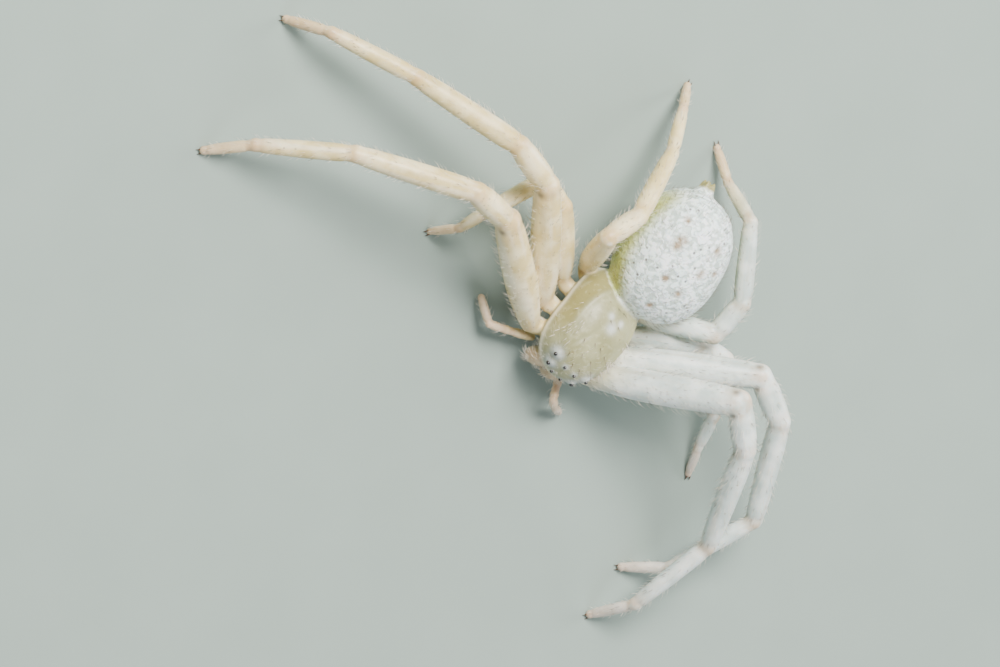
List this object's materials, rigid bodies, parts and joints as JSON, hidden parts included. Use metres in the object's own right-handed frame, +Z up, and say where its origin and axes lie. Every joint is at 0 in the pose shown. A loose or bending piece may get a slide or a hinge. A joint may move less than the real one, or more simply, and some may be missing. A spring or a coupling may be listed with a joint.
{
  "type": "crab spider",
  "caption": "Still life-size model of a pale flower crab spider standing on its spread legs, with broad front legs held out and forward.",
  "frame": {"origin": "on the floor, under the middle of the spread of the legs", "axes": "+Z up; -Y the way the spider faces; +X towards its left side"},
  "size_m": [0.0216, 0.0132, 0.0045],
  "materials": {
    "carapace": "waxy translucent cuticle, pale greenish cream",
    "abdomen": "finely cobbled chalk-white skin with small dark dots",
    "mouthparts": "waxy pinkish cream cuticle",
    "leg": "waxy translucent cuticle, warm cream to bluish white",
    "claw": "dark glossy horn",
    "eye": "glossy black lens"
  },
  "bodies": {
    "root": {"cephalothorax": "carapace", "abdomen": "abdomen", "spinnerets": "abdomen", "chelicera_left": "mouthparts", "chelicera_right": "mouthparts", "palp_left": "mouthparts", "palp_right": "mouthparts", "leg_left_1": "leg", "leg_left_2": "leg", "leg_left_3": "leg", "leg_left_4": "leg", "leg_right_1": "leg", "leg_right_2": "leg", "leg_right_3": "leg", "leg_right_4": "leg", "eye_anterior_median_left": "eye", "eye_anterior_median_right": "eye", "eye_anterior_lateral_left": "eye", "eye_anterior_lateral_right": "eye", "eye_posterior_median_left": "eye", "eye_posterior_median_right": "eye", "eye_posterior_lateral_left": "eye", "eye_posterior_lateral_right": "eye"}
  },
  "joints": []
}
